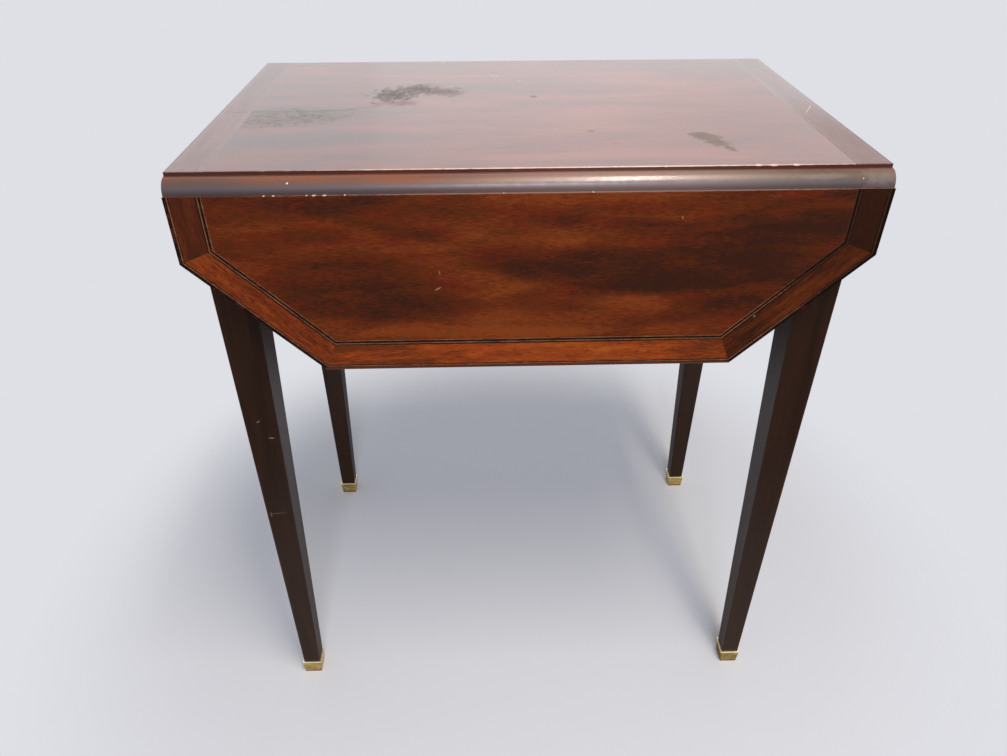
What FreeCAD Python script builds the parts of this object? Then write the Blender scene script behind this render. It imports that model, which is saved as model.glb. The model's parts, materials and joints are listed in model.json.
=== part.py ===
import FreeCAD, Part
import math
import os

# Drop-leaf side table with banded mahogany boards, tapered legs in brass toe caps, leaves on rule joints
# that hang at the long sides, folding stays that hold them up, and one drawer in the right-hand end.
# Millimetres. X runs along the hinge lines, -Y is the front, +Z is up and the floor is at zero.

# Whole table
height = 711.0
top_length = 622.0
top_width = 390.0
board_thickness = 19.0
board_arris = 0.6
cut_overrun = 5.0

# Rule joint: the hinge barrel sits flush in the underside and sets the centre of the quarter round
joint_fillet = 3.2
joint_clearance = 0.6
lip_clearance = 0.4
barrel_radius = 3.0
barrel_inset = 0.1

# Leaves: reach from the hinge line to the outer edge, and the leg of the corner cut
leaf_reach = 177.1
corner_cut = 114.3

# Legs: two outer faces stand upright and two inner faces taper below the rails
leg_width = 40.0
toe_width = 21.5
leg_arris = 1.0
end_overhang = 12.6
leaf_to_leg_gap = 3.6

# Brass toe caps
cap_height = 20.6
cap_rim_wall = 1.95
cap_foot_wall = 0.6
cap_floor = 1.5
cap_arris = 1.2
cap_rim_arris = 0.5

# Rails and their tenons
rail_depth = 100.0
rail_thickness = 19.0
side_rail_setback = 12.0
end_rail_setback = 3.0
tenon_thickness = 8.0
tenon_length = 22.0
tenon_shoulder = 10.0
blade_tenon_shoulder = 4.0
mortise_relief = 1.0

# Inlay: widths of the lines, in order from the outer edge towards the field
inlay_depth = 0.9
edge_line = 3.5
outer_light_line = 1.0
outer_dark_line = 1.0
band_width = 22.5
inner_thin_line = 0.8
inner_light_line = 1.0
inner_dark_line = 2.2
field_light_line = 0.8

# Table hinges
hinge_width = 35.0
hinge_spacing = 380.0
hinge_plate = 2.0
top_plate_reach = 32.0
leaf_plate_reach = 46.0
knuckle_gap = 0.3
pin_radius = 1.5
pin_clearance = 0.05
barrel_pocket_clearance = 0.5
swing_clearance = 0.4

# Countersunk hardware screws
screw_head_radius = 3.2
screw_shank_radius = 1.5
screw_head_height = 1.7
screw_length = 12.0
screw_tip_share = 0.5
hinge_screw_margin = 7.0

# Folding stays: drop of the rail pivot and of the leaf pivot below the hinge line, at rest
stay_spacing = 230.0
stay_rail_drop = 70.0
stay_leaf_drop = 100.0
arm_width = 10.0
arm_thickness = 2.0
arm_gap = 4.0
arm_side_clearance = 0.2
stud_radius = 2.5
stud_clearance = 0.05
stud_head_radius = 4.0
stud_head_height = 0.8
knee_clearance = 0.4
bracket_thickness = 2.0
bracket_width = 18.0
bracket_length = 26.0
bracket_screw_spacing = 15.0

# Drawer end: two blades with the drawer between them, runners at the sides and cleats under the top
blade_thickness = 18.0
blade_depth = 45.0
runner_width = 19.0
runner_depth = 15.0
guide_depth = 30.0
drawer_clearance = 0.8
slide_clearance = 0.3
drawer_back_space = 96.8
drawer_front_thickness = 19.0
drawer_side_thickness = 11.0
drawer_bottom_thickness = 6.0
drawer_bottom_lift = 9.0
drawer_back_setback = 11.0
groove_depth = 4.0
tail_count = 3
tail_length = 14.0
tail_width = 10.0
tail_flare = 2.0
stop_length = 30.0
stop_depth = 10.0
stop_height = 5.0
stop_spacing = 160.0

# Turned brass knob of the drawer, as radii and lengths along its axis
knob_shank_radius = 2.0
knob_rose_radius = 7.0
knob_rose_length = 1.5
knob_neck_radius = 3.5
knob_neck_length = 3.0
knob_head_radius = 8.0
knob_flare_length = 3.0
knob_dome_height = 5.0

# Wood screws that hold the top down through the cleats
top_screw_head_radius = 4.2
top_screw_shank_radius = 2.2
top_screw_head_height = 2.6
top_screw_bite = 12.0
top_screw_margin = 58.4
top_screw_count = 3

# Planes and centres that several pieces share
half_length = top_length / 2
half_width = top_width / 2
underside = height - board_thickness
axis_lift = barrel_radius + barrel_inset
axis_z = underside + axis_lift
lip_z = axis_z - lip_clearance
joint_radius = board_thickness - joint_fillet - axis_lift
leaf_outer_y = half_width + joint_radius + joint_fillet
leaf_inner_y = half_width - axis_lift
leg_x = half_length - end_overhang
leg_y = leaf_inner_y - leaf_to_leg_gap
leg_inner_x = leg_x - leg_width
leg_inner_y = leg_y - leg_width
rail_bottom = underside - rail_depth
side_rail_y = leg_y - side_rail_setback
side_rail_inner_y = side_rail_y - rail_thickness
end_rail_x = leg_x - end_rail_setback
blade_inner_x = end_rail_x - blade_depth
opening_bottom = rail_bottom + blade_thickness
opening_top = underside - blade_thickness
pivot_y = (leaf_inner_y + side_rail_y) / 2
pivot_inset = half_width - pivot_y
drawer_length = 2 * end_rail_x - rail_thickness - drawer_back_space

X_AXIS = FreeCAD.Vector(1, 0, 0)
Y_AXIS = FreeCAD.Vector(0, 1, 0)
Z_AXIS = FreeCAD.Vector(0, 0, 1)
ORIGIN = FreeCAD.Vector(0, 0, 0)


def at(x, y, z):
    return FreeCAD.Vector(x, y, z)


def block(low, high):
    # A box between two opposite corners
    size = [b - a for a, b in zip(low, high)]
    return Part.makeBox(*size, at(*low))


def prism(corners, run):
    # A straight prism on a closed outline
    return Part.Face(Part.makePolygon(corners + corners[:1])).extrude(run)


def round_bar(radius, start, end):
    # A cylinder from one point to another
    run = end - start
    return Part.makeCylinder(radius, run.Length, start, run)


def group(solids):
    return Part.makeCompound(solids)


def turned(shape):
    # The same piece at the opposite side of the table, half a turn about the upright axis
    copy = shape.copy()
    copy.rotate(ORIGIN, Z_AXIS, 180)
    return copy


def mirrored(shape, normal):
    return shape.mirror(ORIGIN, normal)


def both_sides(shape):
    return [shape, turned(shape)]


def countersunk_screw(head, inward, head_radius, shank_radius, head_height, length):
    # A screw whose head is flush with the surface at the head point
    cone = Part.makeCone(head_radius, shank_radius, head_height, head, inward)
    tip = head + inward * (length - shank_radius)
    shank = round_bar(shank_radius, head, tip)
    point = Part.makeCone(shank_radius, shank_radius * screw_tip_share, shank_radius, tip, inward)
    return cone.fuse([shank, point]).removeSplitter()


def hardware_screw(head, inward):
    return countersunk_screw(
        head, inward, screw_head_radius, screw_shank_radius, screw_head_height, screw_length
    )


def inlay_lines():
    # Each line as its name, start and end, from the outer edge inwards
    widths = [
        ("dark", edge_line),
        ("light", outer_light_line),
        ("dark", outer_dark_line),
        ("band", band_width),
        ("dark", inner_thin_line),
        ("light", inner_light_line),
        ("dark", inner_dark_line),
        ("light", field_light_line),
    ]
    lines = []
    start = 0
    for name, width in widths:
        lines.append((name, start, start + width))
        start += width
    return lines


inlay_width = inlay_lines()[-1][2]


# Fixed top

def top_outline():
    # Section across the table: flat face, eased steps, quarter rounds that run on to the underside
    side_y = half_width + math.sqrt(joint_radius**2 - axis_lift**2)
    low_turn = -math.asin(axis_lift / joint_radius)
    middle_turn = (math.pi / 2 + low_turn) / 2
    arc_y = half_width + joint_radius * math.cos(middle_turn)
    arc_z = axis_z + joint_radius * math.sin(middle_turn)
    shoulder = axis_z + joint_radius
    eased = board_arris * (1 - math.cos(math.pi / 4))
    x = -half_length
    half = [
        (half_width - board_arris, height),
        (half_width - eased, height - eased),
        (half_width, height - board_arris),
        (half_width, shoulder),
        (arc_y, arc_z),
        (side_y, underside),
    ]
    right = [at(x, y, z) for y, z in half]
    left = [at(x, -y, z) for y, z in half]
    edges = [
        Part.LineSegment(left[0], right[0]).toShape(),
        Part.LineSegment(left[-1], right[-1]).toShape(),
    ]
    for side in (left, right):
        edges.append(Part.Arc(*side[:3]).toShape())
        edges.append(Part.LineSegment(side[2], side[3]).toShape())
        edges.append(Part.Arc(*side[3:]).toShape())
    return Part.Wire(Part.sortEdges(edges)[0])


def top_blank():
    # The whole board before its inlay is let in, eased at both ends
    board = Part.Face(top_outline()).extrude(X_AXIS * top_length)
    slab = block((-half_length, -leaf_outer_y, underside), (half_length, leaf_outer_y, height))
    across = [edge for edge in slab.Edges if edge.BoundBox.YLength > leaf_outer_y]
    return board.common(slab.makeFillet(board_arris, across))


def top_strip(start, end, depth_top):
    # A strip along the right-hand end of the top, between two distances from that end
    return block(
        (half_length - end, -half_width, height - inlay_depth),
        (half_length - start, half_width, depth_top),
    )


def top_inlay(kind, blank):
    solids = []
    for name, start, end in inlay_lines():
        if name == kind:
            solids += both_sides(top_strip(start, end, height).common(blank).Solids[0])
    return group(solids)


def top_board(blank):
    recess = top_strip(-cut_overrun, inlay_width, height + cut_overrun)
    mortises = []
    for x in hinge_places():
        mortises += both_sides(hinge_mortise_in_top(x))
    cuts = both_sides(recess) + mortises + top_plate_screws() + top_screws()
    return blank.cut(cuts)


# Table hinges, drawn for the front leaf as it hangs

def hinge_places():
    return [-hinge_spacing / 2, hinge_spacing / 2]


def hinge_mortise_in_top(x):
    # Housing for the short plate, the barrel and the long plate when the leaf is up
    half = hinge_width / 2 + barrel_pocket_clearance
    pocket = barrel_radius + barrel_pocket_clearance
    plate = block(
        (x - hinge_width / 2, -half_width, underside - cut_overrun),
        (x + hinge_width / 2, -half_width + top_plate_reach, underside + hinge_plate),
    )
    barrel = block(
        (x - half, -half_width - pocket, underside - cut_overrun),
        (x + half, -half_width + pocket, axis_z + pocket),
    )
    swing = block(
        (x - half, -leaf_outer_y, underside - cut_overrun),
        (x + half, -half_width, underside + hinge_plate + swing_clearance),
    )
    return plate.fuse([barrel, swing])


def knuckle_spans(x):
    # Three knuckles along the barrel: the outer two belong to the short plate
    third = hinge_width / 3
    start = x - hinge_width / 2
    edges = [start, start + third, start + 2 * third, start + hinge_width]
    outer = [(edges[0], edges[1] - knuckle_gap / 2), (edges[2] + knuckle_gap / 2, edges[3])]
    middle = (edges[1] + knuckle_gap / 2, edges[2] - knuckle_gap / 2)
    return outer, middle


def barrel_piece(span, radius):
    return round_bar(radius, at(span[0], -half_width, axis_z), at(span[1], -half_width, axis_z))


def hinge_pin(x):
    return barrel_piece((x - hinge_width / 2, x + hinge_width / 2), pin_radius)


def hinge_top_plate(x):
    # The short plate, with a tongue to each outer knuckle
    outer, middle = knuckle_spans(x)
    half = hinge_width / 2
    root = -half_width + barrel_radius + barrel_pocket_clearance
    plate_top = underside + hinge_plate
    plate = block((x - half, root, underside), (x + half, -half_width + top_plate_reach, plate_top))
    tongues = [block((a, -half_width, underside), (b, root, plate_top)) for a, b in outer]
    knuckles = [barrel_piece(span, barrel_radius) for span in outer]
    solid = plate.fuse(tongues + knuckles).removeSplitter()
    return solid.cut([hinge_pin(x)] + top_plate_screws())


def hinge_leaf_plate(x):
    # The long plate, with one tongue to the middle knuckle that turns on the pin
    outer, middle = knuckle_spans(x)
    half = hinge_width / 2
    root = axis_z - barrel_radius - barrel_pocket_clearance
    face_y = -leaf_inner_y - hinge_plate
    plate = block((x - half, face_y, axis_z - leaf_plate_reach), (x + half, -leaf_inner_y, root))
    tongue = block((middle[0], face_y, root), (middle[1], -leaf_inner_y, axis_z))
    solid = plate.fuse([tongue, barrel_piece(middle, barrel_radius)]).removeSplitter()
    bore = barrel_piece(middle, pin_radius + pin_clearance)
    return solid.cut([bore] + leaf_plate_screws())


def screw_triangle(x, near, far):
    # Three places on a hinge plate: two near its far edge and one nearer the barrel
    side = hinge_width / 2 - hinge_screw_margin
    return [(x - side, far), (x + side, far), (x, near)]


def top_plate_screws():
    screws = []
    near = (barrel_radius + top_plate_reach) / 2
    for x in hinge_places():
        for place, reach in screw_triangle(x, near, top_plate_reach - hinge_screw_margin):
            screw = hardware_screw(at(place, -half_width + reach, underside), Z_AXIS)
            screws += both_sides(screw)
    return screws


def leaf_plate_screws():
    screws = []
    near = (joint_radius + leaf_plate_reach) / 2
    for x in hinge_places():
        for place, reach in screw_triangle(x, near, leaf_plate_reach - hinge_screw_margin):
            screws.append(hardware_screw(at(place, -leaf_inner_y, axis_z - reach), Y_AXIS * -1))
    return screws


# Leaves, drawn for the front leaf as it hangs

def leaf_corners(inset):
    # Outline of the leaf at a distance inside its outer edges, from the left lip round to the right lip
    mitre = inset * math.tan(math.pi / 8)
    side_x = half_length - inset
    side_z = axis_z - (leaf_reach - corner_cut) + mitre
    edge_x = half_length - corner_cut - mitre
    edge_z = axis_z - leaf_reach + inset
    half = [(side_x, lip_z), (side_x, side_z), (edge_x, edge_z)]
    return [(-x, z) for x, z in half] + [(x, z) for x, z in reversed(half)]


def leaf_prism(corners, outer_y, inner_y):
    return prism([at(x, -outer_y, z) for x, z in corners], Y_AXIS * (outer_y - inner_y))


def leaf_strip(start, end, first, last):
    # Mitred strip between two insets, along the stretch of the outline from corner first to corner last
    outer = leaf_corners(start)[first : last + 1]
    inner = leaf_corners(end)[first : last + 1]
    return leaf_prism(outer + inner[::-1], leaf_outer_y, leaf_outer_y - inlay_depth)


def leaf_lines(kind, blank):
    every = len(leaf_corners(0)) - 1
    strips = [leaf_strip(start, end, 0, every) for name, start, end in inlay_lines() if name == kind]
    return group([strip.common(blank).Solids[0] for strip in strips])


def leaf_band(first):
    start, end = next((a, b) for name, a, b in inlay_lines() if name == "band")
    return leaf_strip(start, end, first, first + 1)


def leaf_side_bands():
    return group([leaf_band(0), leaf_band(4)])


def leaf_blank():
    # The whole leaf before its inlay is let in, eased along its free edges and coved along its lip
    board = leaf_prism(leaf_corners(0), leaf_outer_y, leaf_inner_y)
    along = [edge for edge in board.Edges if edge.BoundBox.YLength < board_arris]
    free = [edge for edge in along if edge.CenterOfMass.z < lip_z - board_arris]
    cove = round_bar(
        joint_radius + joint_clearance,
        at(-half_length - cut_overrun, -half_width, axis_z),
        at(half_length + cut_overrun, -half_width, axis_z),
    )
    return board.makeFillet(board_arris, free).cut(cove)


def leaf_board(blank):
    recess = leaf_prism(leaf_corners(-cut_overrun), leaf_outer_y + cut_overrun, leaf_outer_y - inlay_depth)
    field = leaf_prism(leaf_corners(inlay_width), leaf_outer_y + cut_overrun, leaf_outer_y - inlay_depth)
    mortises = []
    for x in hinge_places():
        low = (x - hinge_width / 2, -leaf_inner_y - hinge_plate, axis_z - leaf_plate_reach)
        mortises.append(block(low, (x + hinge_width / 2, -leaf_inner_y + cut_overrun, axis_z)))
    recess = recess.cut(field)
    return blank.cut([recess] + mortises + leaf_plate_screws() + leaf_bracket_screws())


# Folding stays, drawn for the front leaf: each has an arm on the rail and an arm on the leaf

def stay_places():
    return [-stay_spacing / 2, stay_spacing / 2]


def stay_arm_lengths():
    # The arms lie on each other when the leaf hangs and run straight on when it is up
    rise = stay_rail_drop - pivot_inset
    run = stay_leaf_drop + pivot_inset
    straight = math.hypot(rise, run)
    folded = stay_leaf_drop - stay_rail_drop
    return (straight + folded) / 2, (straight - folded) / 2


def rail_pivot(x):
    return at(x, -pivot_y, axis_z - stay_rail_drop)


def leaf_pivot(x):
    return at(x, -pivot_y, axis_z - stay_leaf_drop)


def arm(pivot, length, side):
    # A flat strip with round ends that hangs from its pivot, on one side of the stay's middle plane
    near = side * arm_gap / 2
    start = pivot + X_AXIS * near
    knee = start - Z_AXIS * length
    through = X_AXIS * side * arm_thickness
    half = arm_width / 2
    ends = [round_bar(half, point, point + through) for point in (start, knee)]
    corners = [start + Y_AXIS * half, start - Y_AXIS * half, knee - Y_AXIS * half, knee + Y_AXIS * half]
    strip = prism(corners, through).fuse(ends).removeSplitter()
    hole = stud_radius + stud_clearance
    margin = X_AXIS * side * cut_overrun
    holes = [round_bar(hole, point - margin, point + through + margin) for point in (start, knee)]
    return strip, holes, knee


def rail_arm(x):
    # The knee's rivet is fast in this arm and stops short of the other
    strip, holes, knee = arm(rail_pivot(x), stay_arm_lengths()[0], -1)
    rivet = round_bar(stud_radius, knee - X_AXIS * arm_thickness, knee + X_AXIS * (arm_gap - knee_clearance))
    return strip.cut(holes[0]).fuse(rivet).removeSplitter()


def leaf_arm(x):
    strip, holes, knee = arm(leaf_pivot(x), stay_arm_lengths()[1], 1)
    return strip.cut(holes)


def bracket_screw_places(pivot, side, face_y):
    x = pivot.x + side * (arm_gap / 2 + arm_thickness + arm_side_clearance + bracket_width / 2)
    drops = [-bracket_screw_spacing / 2, bracket_screw_spacing / 2]
    return [at(x, face_y, pivot.z + drop) for drop in drops]


def bracket(pivot, side, face_y, outward, screws):
    # An angle bracket on a face: a plate, a standing ear with the pivot's stud, and the stud's head
    near = pivot.x + side * (arm_gap / 2 + arm_thickness + arm_side_clearance)
    far = near + side * bracket_width
    ear_far = near + side * bracket_thickness
    out_y = face_y + outward * bracket_thickness
    plate = block(
        (min(near, far), min(face_y, out_y), pivot.z - bracket_length / 2),
        (max(near, far), max(face_y, out_y), pivot.z + bracket_length / 2),
    )
    half = arm_width / 2
    web = block(
        (min(near, ear_far), min(face_y, pivot.y), pivot.z - half),
        (max(near, ear_far), max(face_y, pivot.y), pivot.z + half),
    )
    inner_x = pivot.x + side * (arm_gap / 2 - arm_side_clearance)
    head_x = inner_x - side * stud_head_height
    centre = [at(x, pivot.y, pivot.z) for x in (near, ear_far, inner_x, head_x)]
    eye = round_bar(half, centre[0], centre[1])
    stud = round_bar(stud_radius, centre[1], centre[2])
    head = round_bar(stud_head_radius, centre[2], centre[3])
    return plate.fuse([web, eye, stud, head]).removeSplitter().cut(screws)


def rail_bracket_screws():
    screws = []
    for x in stay_places():
        for place in bracket_screw_places(rail_pivot(x), -1, -side_rail_y - bracket_thickness):
            screws += both_sides(hardware_screw(place, Y_AXIS))
    return screws


def leaf_bracket_screws():
    screws = []
    for x in stay_places():
        for place in bracket_screw_places(leaf_pivot(x), 1, -leaf_inner_y + bracket_thickness):
            screws.append(hardware_screw(place, Y_AXIS * -1))
    return screws


def rail_bracket(x):
    return bracket(rail_pivot(x), -1, -side_rail_y, -1, rail_bracket_screws())


def leaf_bracket(x):
    return bracket(leaf_pivot(x), 1, -leaf_inner_y, 1, leaf_bracket_screws())


# Legs and toe caps, drawn for the front left corner

def square_at(width, z, proud):
    # A square section of the leg, measured inwards from its two upright outer faces
    low_x = -leg_x - proud
    low_y = -leg_y - proud
    high_x = -leg_x + width + proud
    high_y = -leg_y + width + proud
    corners = [at(low_x, low_y, z), at(high_x, low_y, z), at(high_x, high_y, z), at(low_x, high_y, z)]
    return Part.makePolygon(corners + corners[:1])


def leg_width_at(z):
    taper = (leg_width - toe_width) / (rail_bottom - cap_height)
    return toe_width + taper * (z - cap_height)


def leg_blank():
    shank = Part.makeLoft(
        [square_at(leg_width_at(cap_floor), cap_floor, 0), square_at(leg_width, rail_bottom, 0)], True, True
    )
    head = Part.makeLoft(
        [square_at(leg_width, rail_bottom, 0), square_at(leg_width, underside, 0)], True, True
    )
    blank = shank.fuse(head).removeSplitter()
    return blank.makeFillet(leg_arris, rising_edges(blank))


def rising_edges(shape):
    return [edge for edge in shape.Edges if edge.BoundBox.ZLength > leg_arris]


def toe_cap():
    cup = Part.makeLoft(
        [square_at(leg_width_at(0), 0, cap_foot_wall), square_at(toe_width, cap_height, cap_rim_wall)],
        True,
        True,
    )
    cup = cup.makeFillet(cap_arris, rising_edges(cup))
    rim = [edge for edge in cup.Edges if edge.BoundBox.ZMin > cap_height / 2]
    return cup.makeFillet(cap_rim_arris, rim).cut(leg_blank())


def leg(mortises):
    return leg_blank().cut(mortises)


def corner_copies(front_left):
    # The front left piece and its copies at the other three corners
    front_right = mirrored(front_left, X_AXIS)
    return {
        "front_left": front_left,
        "front_right": front_right,
        "back_left": turned(front_right),
        "back_right": turned(front_left),
    }


# Rails

def side_tenon(relief):
    # Tenon at the left end of the front rail
    middle = -side_rail_y + rail_thickness / 2
    return block(
        (-leg_inner_x - tenon_length - relief, middle - tenon_thickness / 2, rail_bottom + tenon_shoulder),
        (-leg_inner_x, middle + tenon_thickness / 2, underside - tenon_shoulder),
    )


def end_tenon(low, high, shoulder, relief):
    # Tenon at the front end of a rail across the left-hand end, between two heights
    middle = -end_rail_x + rail_thickness / 2
    return block(
        (middle - tenon_thickness / 2, -leg_inner_y - tenon_length - relief, low + shoulder),
        (middle + tenon_thickness / 2, -leg_inner_y, high - shoulder),
    )


def end_rail_tenon(relief):
    return end_tenon(rail_bottom, underside, tenon_shoulder, relief)


def blade_tenons(relief):
    low = end_tenon(rail_bottom, opening_bottom, blade_tenon_shoulder, relief)
    high = end_tenon(opening_top, underside, blade_tenon_shoulder, relief)
    return low, high


def front_side_rail():
    rail = block((-leg_inner_x, -side_rail_y, rail_bottom), (leg_inner_x, -side_rail_inner_y, underside))
    tenon = side_tenon(0)
    rail = rail.fuse([tenon, mirrored(tenon, X_AXIS)]).removeSplitter()
    return rail.cut(rail_bracket_screws())


def left_end_rail():
    rail = block(
        (-end_rail_x, -leg_inner_y, rail_bottom), (-end_rail_x + rail_thickness, leg_inner_y, underside)
    )
    tenon = end_rail_tenon(0)
    return rail.fuse([tenon, mirrored(tenon, Y_AXIS)]).removeSplitter()


def drawer_blade(low, high, tenon):
    # A flat rail across the right-hand end, above or below the drawer
    rail = block((blade_inner_x, -leg_inner_y, low), (end_rail_x, leg_inner_y, high))
    right = mirrored(tenon, X_AXIS)
    return rail.fuse([right, mirrored(right, Y_AXIS)]).removeSplitter()


def front_runner():
    # The drawer slides on the runner's ledge and is led by the guide above it
    ledge = block(
        (-leg_inner_x, -side_rail_inner_y, opening_bottom - runner_depth),
        (blade_inner_x, -side_rail_inner_y + runner_width, opening_bottom),
    )
    guide = block(
        (-leg_inner_x, -side_rail_inner_y, opening_bottom),
        (blade_inner_x, -leg_inner_y, opening_bottom + guide_depth),
    )
    return ledge.fuse(guide).removeSplitter()


def cleat_middle():
    return side_rail_inner_y - runner_width / 2


def front_cleat():
    # Strip under the top that keeps the drawer from tipping and holds the top's screws
    cleat = block(
        (-leg_inner_x, -side_rail_inner_y, opening_top),
        (blade_inner_x, -side_rail_inner_y + runner_width, underside),
    )
    return cleat.cut(top_screws())


def top_screws():
    screws = []
    length = blade_thickness + top_screw_bite
    first = -leg_inner_x + top_screw_margin
    step = -2 * first / (top_screw_count - 1)
    for i in range(top_screw_count):
        head = at(first + i * step, -cleat_middle(), opening_top)
        screw = countersunk_screw(
            head, Z_AXIS, top_screw_head_radius, top_screw_shank_radius, top_screw_head_height, length
        )
        screws += both_sides(screw)
    return screws


# Drawer in the right-hand end

drawer_low = opening_bottom + slide_clearance
drawer_high = opening_top - drawer_clearance
drawer_half = leg_inner_y - drawer_clearance
front_inner_x = end_rail_x - drawer_front_thickness
drawer_back_x = end_rail_x - drawer_length
bottom_low = drawer_low + drawer_bottom_lift
bottom_high = bottom_low + drawer_bottom_thickness
side_inner = drawer_half - drawer_side_thickness


def front_tails():
    # Dovetails of the side at the front of the table, which spread towards the drawer's face
    step = (drawer_high - drawer_low) / tail_count
    tails = []
    for i in range(tail_count):
        middle = drawer_low + (i + 1 / 2) * step
        near = tail_width / 2
        far = near + tail_flare
        corners = [
            at(front_inner_x, -drawer_half, middle - near),
            at(front_inner_x + tail_length, -drawer_half, middle - far),
            at(front_inner_x + tail_length, -drawer_half, middle + far),
            at(front_inner_x, -drawer_half, middle + near),
        ]
        tails.append(prism(corners, Y_AXIS * drawer_side_thickness))
    return tails


def drawer_bottom():
    reach = side_inner + groove_depth
    return block(
        (drawer_back_x, -reach, bottom_low), (front_inner_x + groove_depth, reach, bottom_high)
    )


def drawer_back():
    # Stands on the bottom board, let into both sides
    reach = side_inner + groove_depth
    outer_x = drawer_back_x + drawer_back_setback
    inner_x = outer_x + drawer_side_thickness
    return block((outer_x, -reach, bottom_high), (inner_x, reach, drawer_high))


def front_drawer_side():
    side = block((drawer_back_x, -drawer_half, drawer_low), (front_inner_x, -side_inner, drawer_high))
    side = side.fuse(front_tails()).removeSplitter()
    return side.cut([drawer_bottom(), drawer_back()])


def drawer_front():
    front = block((front_inner_x, -drawer_half, drawer_low), (end_rail_x, drawer_half, drawer_high))
    face = [edge for edge in front.Edges if edge.BoundBox.XMin > front_inner_x + board_arris]
    front = front.makeFillet(board_arris, face)
    tails = front_tails()
    tails += [mirrored(tail, Y_AXIS) for tail in front_tails()]
    return front.cut(tails + [drawer_bottom(), knob_shank()])


def knob_middle():
    return (drawer_low + drawer_high) / 2


def knob_shank():
    middle = knob_middle()
    return round_bar(knob_shank_radius, at(front_inner_x, 0, middle), at(end_rail_x, 0, middle))


def drawer_knob():
    # Shank, rose, neck, flared head and shallow dome, turned about the knob's axis
    z = knob_middle()
    rose_x = end_rail_x + knob_rose_length
    neck_x = rose_x + knob_neck_length
    rim_x = neck_x + knob_flare_length
    tip_x = rim_x + knob_dome_height
    outline = [
        (front_inner_x, 0),
        (front_inner_x, knob_shank_radius),
        (end_rail_x, knob_shank_radius),
        (end_rail_x, knob_rose_radius),
        (rose_x, knob_rose_radius),
        (rose_x, knob_neck_radius),
        (neck_x, knob_neck_radius),
        (rim_x, knob_head_radius),
    ]
    points = [at(x, 0, z + r) for x, r in outline]
    dome_radius = (knob_head_radius**2 + knob_dome_height**2) / (2 * knob_dome_height)
    half_turn = math.asin(knob_head_radius / dome_radius) / 2
    middle_x = tip_x - dome_radius * (1 - math.cos(half_turn))
    crown = at(middle_x, 0, z + dome_radius * math.sin(half_turn))
    tip = at(tip_x, 0, z)
    edges = [Part.LineSegment(a, b).toShape() for a, b in zip(points, points[1:])]
    edges.append(Part.Arc(points[-1], crown, tip).toShape())
    edges.append(Part.LineSegment(tip, points[0]).toShape())
    return Part.Face(Part.Wire(edges)).revolve(points[0], X_AXIS, 360)


def drawer_stops():
    # Small blocks on the lower blade, just behind the drawer's front
    high_x = front_inner_x - slide_clearance
    stops = []
    for middle in (-stop_spacing / 2, stop_spacing / 2):
        low = (high_x - stop_depth, middle - stop_length / 2, opening_bottom)
        stops.append(block(low, (high_x, middle + stop_length / 2, opening_bottom + stop_height)))
    return group(stops)


# The whole table, node by node

def frame_nodes():
    blank = top_blank()
    nodes = {
        "top_board": top_board(blank),
        "top_crossbands": top_inlay("band", blank),
        "top_dark_stringing": top_inlay("dark", blank),
        "top_light_stringing": top_inlay("light", blank),
        "left_end_rail": left_end_rail(),
        "drawer_stops": drawer_stops(),
        "top_screws": group(top_screws()),
        "hinge_top_screws": group(top_plate_screws()),
        "stay_rail_screws": group(rail_bracket_screws()),
    }
    low_tenon, high_tenon = blade_tenons(0)
    nodes["drawer_lower_blade"] = drawer_blade(rail_bottom, opening_bottom, low_tenon)
    nodes["drawer_upper_blade"] = drawer_blade(opening_top, underside, high_tenon)
    nodes["front_side_rail"] = front_side_rail()
    nodes["back_side_rail"] = turned(front_side_rail())
    for name, make in (("drawer_runner", front_runner), ("top_cleat", front_cleat)):
        nodes["front_" + name] = make()
        nodes["back_" + name] = mirrored(make(), Y_AXIS)
    for name, make in (("hinge_top_plates", hinge_top_plate), ("hinge_pins", hinge_pin)):
        nodes[name] = group([copy for x in hinge_places() for copy in both_sides(make(x))])
    nodes["stay_rail_brackets"] = group([copy for x in stay_places() for copy in both_sides(rail_bracket(x))])
    return nodes


def leg_nodes():
    nodes = {}
    left = corner_copies(leg([side_tenon(mortise_relief), end_rail_tenon(mortise_relief)]))
    right = corner_copies(leg([side_tenon(mortise_relief), *blade_tenons(mortise_relief)]))
    caps = corner_copies(toe_cap())
    for corner in caps:
        nodes[corner + "_leg"] = left[corner] if corner.endswith("left") else right[corner]
        nodes[corner + "_toe_cap"] = caps[corner]
    return nodes


def front_leaf_nodes():
    blank = leaf_blank()
    return {
        "leaf_board": leaf_board(blank),
        "leaf_side_bands": leaf_side_bands(),
        "leaf_left_corner_band": leaf_band(1),
        "leaf_edge_band": leaf_band(2),
        "leaf_right_corner_band": leaf_band(3),
        "leaf_dark_stringing": leaf_lines("dark", blank),
        "leaf_light_stringing": leaf_lines("light", blank),
        "leaf_screws": group(leaf_plate_screws() + leaf_bracket_screws()),
        "hinge_leaf_plates": group([hinge_leaf_plate(x) for x in hinge_places()]),
        "stay_leaf_brackets": group([leaf_bracket(x) for x in stay_places()]),
        "stay_rail_arms": group([rail_arm(x) for x in stay_places()]),
        "stay_leaf_arms": group([leaf_arm(x) for x in stay_places()]),
    }


def leaf_nodes():
    # The back leaf is the front leaf turned about the upright axis, so its left and right change places
    nodes = {}
    for name, shape in front_leaf_nodes().items():
        nodes["front_" + name] = shape
        swapped = name.replace("left", "other").replace("right", "left").replace("other", "right")
        nodes["back_" + swapped] = turned(shape)
    return nodes


def drawer_nodes():
    return {
        "drawer_front": drawer_front(),
        "drawer_front_side": front_drawer_side(),
        "drawer_back_side": mirrored(front_drawer_side(), Y_AXIS),
        "drawer_back": drawer_back(),
        "drawer_bottom": drawer_bottom(),
        "drawer_knob": drawer_knob(),
    }


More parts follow.
